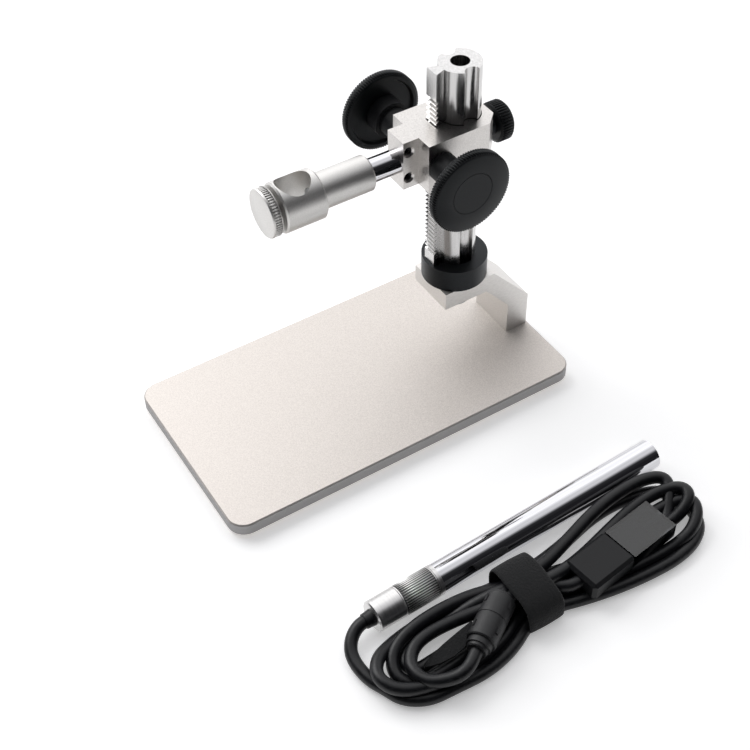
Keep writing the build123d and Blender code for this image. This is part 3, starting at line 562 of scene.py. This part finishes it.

# Fluted aluminium, with its grain on the ridges. The cuts between the ridges are painted dark as painted
# shade, fading out up their walls.
fluted_metal, tree, shader = new_finish("fluted_satin_aluminium", "#dcdbda", 1.0, 0.34)
tone = grain(tree, shader, ("#d8d7d6", "#e6e5e4"), 0.5, rough=(0.3, 0.38))
flute_foot, flute_top = 5.45, 5.66
spot = add(tree, "ShaderNodeTexCoord")
from_start = add(
    tree, "ShaderNodeVectorMath", {"operation": "SUBTRACT"}, {0: spot.outputs["Object"], 1: pen_start / 1000},
)
across = add(
    tree, "ShaderNodeVectorMath", {"operation": "CROSS_PRODUCT"}, {0: from_start.outputs[0], 1: pen_axis},
)
radius = add(tree, "ShaderNodeVectorMath", {"operation": "LENGTH"}, {0: across.outputs[0]})
raised_part = add(
    tree, "ShaderNodeMapRange",
    inputs={0: radius.outputs["Value"], 1: flute_foot / 1000, 2: flute_top / 1000},
)
# Painted shade: fully dark below the flutes' foot, none at their top.
painted_flute_shade = add(
    tree, "ShaderNodeMix", {"data_type": "RGBA"},
    {0: raised_part.outputs[0], 6: colour("#555556"), 7: tone.outputs[2]},
)
tree.links.new(painted_flute_shade.outputs[2], shader.inputs["Base Color"])
ring = piece("fluted_focus_ring", placed(ring_mesh, pen_start, pen_axis), fluted_metal, "ring")
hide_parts("focus_ring")

# ---- Pen's inside ----
# Behind the front window sit the white lamps' board, the objective and, on its carrier, the sensor.
# They are black anodised aluminium, green and white boards, lamps and glass, and show only through the
# window.

black_metal, tree, shader = new_finish("black_anodised_aluminium", "#1d1f22", 0.6, 0.42)
grain(tree, shader, ("#191b1e", "#24272a"), 0.5, rough=(0.36, 0.5), height=0.01)
dress(black_metal, "pen_core", "sensor_carrier", "objective_barrel")

green_board, tree, shader = new_finish("green_solder_mask_board", "#1f5a35", 0.0, 0.35)
grain(tree, shader, ("#1b4f2f", "#28693f"), 1.2, rough=(0.3, 0.45))
dress(green_board, "main_board", "sensor_board")

white_mask, tree, shader = new_finish("white_solder_mask_board", "#e9e9e6", 0.0, 0.4)
grain(tree, shader, ("#e0e0dc", "#efefed"), 0.8, rough=(0.35, 0.5))
dress(white_mask, "led_board")

lamp_resin, tree, shader = new_finish("phosphor_resin_lamp", "#f0e7a8", 0.0, 0.25)
grain(tree, shader, ("#eadf98", "#f6efbe"), 0.4, rough=(0.2, 0.3))
dress(lamp_resin, "lamp_leds")

sensor_glass, tree, shader = new_finish("sensor_cover_glass", "#151a26", 0.0, 0.08)
grain(tree, shader, ("#121622", "#1c2233"), 0.6, rough=(0.05, 0.12))
dress(sensor_glass, "image_sensor")

window_glass, tree, shader = new_finish("ground_optical_glass", "#f7f9f9", 0.0, 0.02)
shader.inputs["IOR"].default_value = 1.52
shader.inputs["Transmission Weight"].default_value = 1.0
dress(window_glass, "front_window", "objective_lenses")

screw_steel, tree, shader = new_finish("oiled_machine_screw_steel", "#3c3e41", 1.0, 0.38)
grain(tree, shader, ("#303235", "#4b4d51"), 0.5, rough=(0.3, 0.48))
dress(screw_steel, "drive_pin", "nose_grub_screws", "hub_grub_screw_left", "hub_grub_screw_right")

# ---- Base plate and feet ----
# A plate of 5 mm aluminium with rounded corners, bead blasted and clear anodised, with a bright broken edge.
# Four rubber feet are glued under it, and two countersunk screws hold the riser from below.

# Bead-blasted, clear-anodised aluminium: a pale warm silver with a fine 0.35 mm sparkle and no reflections.
# The sawn sides and broken edges are painted greyer than the faces: painted shade, standing in for the dark
# room they mirror.
blasted, tree, shader = new_finish("bead_blasted_clear_anodised_aluminium", "#d6d1cc", 1.0, 0.62)
tone = grain(tree, shader, ("#c6c0bb", "#e2ddd8"), 0.35, rough=(0.58, 0.68), height=0.008, detail=4.0)
facing = add(tree, "ShaderNodeTexCoord")
facing_parts = add(tree, "ShaderNodeSeparateXYZ", inputs={0: facing.outputs["Normal"]})
upright = add(tree, "ShaderNodeMath", {"operation": "ABSOLUTE"}, {0: facing_parts.outputs[2]})
edge_slope, face_slope = 0.3, 0.9
flat = add(tree, "ShaderNodeMapRange", inputs={0: upright.outputs[0], 1: edge_slope, 2: face_slope})
# Painted shade on the plate's sides, stronger the more steeply a face stands.
painted_edge_shade = add(
    tree, "ShaderNodeMix", {"data_type": "RGBA"},
    {0: flat.outputs[0], 6: colour("#a9a8a8"), 7: tone.outputs[2]},
)
tree.links.new(painted_edge_shade.outputs[2], shader.inputs["Base Color"])
dress(blasted, "base_plate")

foot_rubber, tree, shader = new_finish("moulded_black_rubber", "#1a1a1b", 0.0, 0.8)
grain(tree, shader, ("#151516", "#202021"), 0.7, rough=(0.7, 0.9), height=0.05)
dress(foot_rubber, "rubber_feet")

bright_screw, tree, shader = new_finish("zinc_plated_screw_steel", "#b9bcbf", 1.0, 0.3)
grain(tree, shader, ("#aaadb1", "#c8cbce"), 0.6, rough=(0.22, 0.38))
dress(bright_screw, "bracket_screws", "column_screw", "holder_retaining_screw")

# ---- Riser bracket ----
# A thick aluminium bar, bent and milled, that lifts the column's foot clear of the plate.
# It is tumbled and clear anodised, so its faces are smooth and its edges stay crisp.

tumbled, tree, shader = new_finish("milled_clear_anodised_aluminium", "#dedbd8", 1.0, 0.5)
grain(tree, shader, ("#dfdcd9", "#ebe9e6"), 0.5, stretch=(1, 4, 1), rough=(0.5, 0.55), height=0.004)
dress(tumbled, "riser_bracket")

# ---- Collar and column ----
# The column is a drawn aluminium bar, bright along its length, with the rack milled in its front rail.
# A black anodised collar is pressed round its foot.

dress(black_metal, "column_collar")

# Drawn bright aluminium: die lines 0.5 mm apart run the column's whole height.
drawn, tree, shader = new_finish("drawn_bright_aluminium", "#cac9c8", 1.0, 0.2)
grain(tree, shader, ("#bfbebd", "#d4d3d2"), 0.5, stretch=(1, 1, 60), rough=(0.15, 0.27), height=0.006)
dress(drawn, "rack_column")

# ---- Carriage ----
# A milled aluminium block slides on the column. Its top keeps the mill's grain, with fine sparkle.
# The pinion runs in two brass bushes, and a blackened boss in the back takes the lock screw.

milled, tree, shader = new_finish("fine_milled_aluminium", "#c6c3c0", 1.0, 0.3)
grain(tree, shader, ("#bdbab7", "#d6d3d0"), 0.4, rough=(0.27, 0.36), height=0.006, detail=4.0)
dress(milled, "carriage_block")

bush_brass, tree, shader = new_finish("turned_brass", "#c9a35a", 1.0, 0.28)
grain(tree, shader, ("#b8924c", "#d6b26c"), 0.4, rough=(0.22, 0.36))
dress(bush_brass, "shaft_bushes", "lock_pad", "clamp_pad")

dress(chrome, "arm_rod", "pinion_shaft")
dress(screw_steel, "lock_stud")
dress(black_metal, "lock_boss")

# ---- Focus knobs ----
# Two black knobs on the pinion shaft, turned from bar and black anodised, each on its own hub.
# The rim is cut with a fine straight knurl, the edges are bevelled, and a plain disc closes the outer face.

# Black anodised turned aluminium: a soft low shine, with black grain of 0.5 mm.
knob_black, tree, shader = new_finish("black_anodised_turned_knob", "#0f1214", 0.3, 0.36)
shader.inputs["Specular IOR Level"].default_value = 0.25
grain(tree, shader, ("#0d1012", "#15181b"), 0.5, rough=(0.32, 0.44))

# The hubs are left dull from the black dip, and their colour is painted a touch darker than the knobs' as
# painted shade, since they lie in the knobs' shade.
shaded_hub_black, tree, shader = new_finish("dull_black_hub_painted_shade", "#0d0e10", 0.0, 0.55)
shader.inputs["Specular IOR Level"].default_value = 0.25
grain(tree, shader, ("#0b0c0e", "#131417"), 0.6, rough=(0.5, 0.62))

shaft_middle = (0, 30.5, 103.8)
for side, word in ((-1, "left"), (1, "right")):
    knob_blank = turned(f"knurled_knob_{word}", [
        (27.3, 3.1), (27.3, 12.4), (26.0, 13.0), (26.0, 14.2), (26.3, 14.75), (26.5, 14.8), (29.4, 14.8),
        (29.7, 14.6), (30.0, 14.0), (30.0, 7.9), (29.7, 7.75), (29.7, 3.1),
    ])
    knob_mesh = knurled(
        knob_blank, knob_black, count=96, ring_radius=14.85, ridge_radius=0.4, ridge_length=3.2, height=27.95,
    )
    stood = placed(knob_mesh, shaft_middle, (side, 0, 0))
    knob = piece(f"knurled_knob_{word}", stood, knob_black, "focus_shaft")
    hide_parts(f"focus_knob_{word}")
    dress(shaded_hub_black, f"knob_hub_{word}")
    dress(knob_black, f"knob_cap_{word}")

# ---- Lock knob ----
# A smaller black knob, turned and anodised as the others but knurled more coarsely. It is fixed on the lock
# screw behind the block, on the arm's own line.

arm_middle = (0, 0, 103.4)
backwards = (0, 1, 0)
lock_blank = turned("knurled_lock_knob", [
    (59.0, 2.0), (59.0, 6.2), (59.4, 6.9), (59.6, 7.0), (63.9, 7.0), (64.4, 6.8), (64.9, 6.2), (65.0, 5.6),
    (65.0, 2.0),
])
lock_mesh = knurled(
    lock_blank, knob_black, count=44, ring_radius=7.0, ridge_radius=0.42, ridge_length=4.2, height=61.75,
)
stood = placed(lock_mesh, arm_middle, backwards)
lock_knob = piece("knurled_lock_knob", stood, knob_black, "lock_screw")
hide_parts("lock_knob")

# ---- Pen holder and clamp cap ----
# The holder is turned from aluminium bar, cross bored for the pen, bead blasted and clear anodised.
# The clamp cap screws into its front, with a coarse straight knurl for the fingers and a flat satin face.

# Fine bead blast over turned aluminium: pale, even and silky, with a grain of 0.3 mm.
silky, tree, shader = new_finish("fine_blasted_turned_aluminium", "#d6d4d2", 1.0, 0.44)
grain(tree, shader, ("#cecdca", "#dfdddb"), 0.3, rough=(0.4, 0.5), height=0.01)
dress(silky, "pen_holder")

cap_blank = turned("knurled_clamp_cap", [
    (-33.4, 0.5), (-33.4, 8.2), (-33.2, 8.6), (-32.8, 8.8), (-32.6, 8.8), (-32.5, 8.35), (-30.3, 8.35),
    (-30.2, 8.8), (-29.8, 8.6), (-29.5, 8.2), (-29.5, 2.5), (-27.3, 2.5), (-27.3, 0.5),
], hollow=False)
cap_mesh = knurled(
    cap_blank, silky, count=56, ring_radius=8.42, ridge_radius=0.33, ridge_length=2.2, height=-31.4,
)
stood = placed(cap_mesh, arm_middle, backwards)
clamp = piece("knurled_clamp_cap", stood, silky, "clamp_screw")
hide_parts("clamp_cap")
